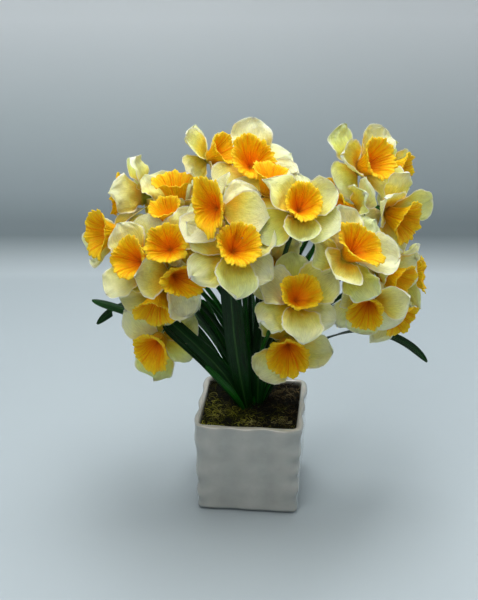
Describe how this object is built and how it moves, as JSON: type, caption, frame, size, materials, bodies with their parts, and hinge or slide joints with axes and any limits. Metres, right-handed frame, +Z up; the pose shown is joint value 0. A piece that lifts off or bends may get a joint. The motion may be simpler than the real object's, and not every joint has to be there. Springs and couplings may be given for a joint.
{
  "type": "potted artificial daffodil arrangement",
  "caption": "Silk daffodils with cream petals and orange pleated cups on a bush of dark green stems and strap leaves, set in moss in a square white glazed pot.",
  "frame": {"origin": "middle of the pot's flat underside", "axes": "+Z up, -Y towards the side of the pot that faces the viewer, +X to the viewer's right"},
  "size_m": [0.3274, 0.2444, 0.3806],
  "materials": {
    "glazed_ceramic": "opaque off-white glaze, glossy, softly quilted by hand",
    "foam": "dark green floral foam, porous",
    "moss": "dried brown-green moss, fibrous",
    "green_plastic": "dark green moulded stems and leaves, satin",
    "cream_silk": "pale yellow-green silk petals, whiter at the rims, finely veined",
    "orange_silk": "orange-yellow pleated silk cups with a paler frilled lip"
  },
  "bodies": {
    "root": {"pot": "glazed_ceramic", "foam": "foam", "moss": "moss", "stems_and_leaves": "green_plastic", "petals_centre_behind": "cream_silk", "petals_crown": "cream_silk", "petals_crown_left": "cream_silk", "petals_crown_right": "cream_silk", "petals_far_left": "cream_silk", "petals_far_right": "cream_silk", "petals_far_upper_back": "cream_silk", "petals_far_upper_right": "cream_silk", "petals_left": "cream_silk", "petals_left_behind": "cream_silk", "petals_left_inner": "cream_silk", "petals_left_of_middle": "cream_silk", "petals_low_far_right": "cream_silk", "petals_low_front": "cream_silk", "petals_low_left": "cream_silk", "petals_low_left_inner": "cream_silk", "petals_low_middle": "cream_silk", "petals_low_right": "cream_silk", "petals_lowest_left": "cream_silk", "petals_middle": "cream_silk", "petals_right_behind": "cream_silk", "petals_right_drooping": "cream_silk", "petals_right_inner": "cream_silk", "petals_right_of_middle": "cream_silk", "petals_right_side": "cream_silk", "petals_right_upper": "cream_silk", "petals_top_left": "cream_silk", "petals_upper_left": "cream_silk", "cup_centre_behind": "orange_silk", "cup_crown": "orange_silk", "cup_crown_left": "orange_silk", "cup_crown_right": "orange_silk", "cup_far_left": "orange_silk", "cup_far_right": "orange_silk", "cup_far_upper_back": "orange_silk", "cup_far_upper_right": "orange_silk", "cup_left": "orange_silk", "cup_left_behind": "orange_silk", "cup_left_inner": "orange_silk", "cup_left_of_middle": "orange_silk", "cup_low_far_right": "orange_silk", "cup_low_front": "orange_silk", "cup_low_left": "orange_silk", "cup_low_left_inner": "orange_silk", "cup_low_middle": "orange_silk", "cup_low_right": "orange_silk", "cup_lowest_left": "orange_silk", "cup_middle": "orange_silk", "cup_right_behind": "orange_silk", "cup_right_drooping": "orange_silk", "cup_right_inner": "orange_silk", "cup_right_of_middle": "orange_silk", "cup_right_side": "orange_silk", "cup_right_upper": "orange_silk", "cup_top_left": "orange_silk", "cup_upper_left": "orange_silk"}
  },
  "joints": []
}
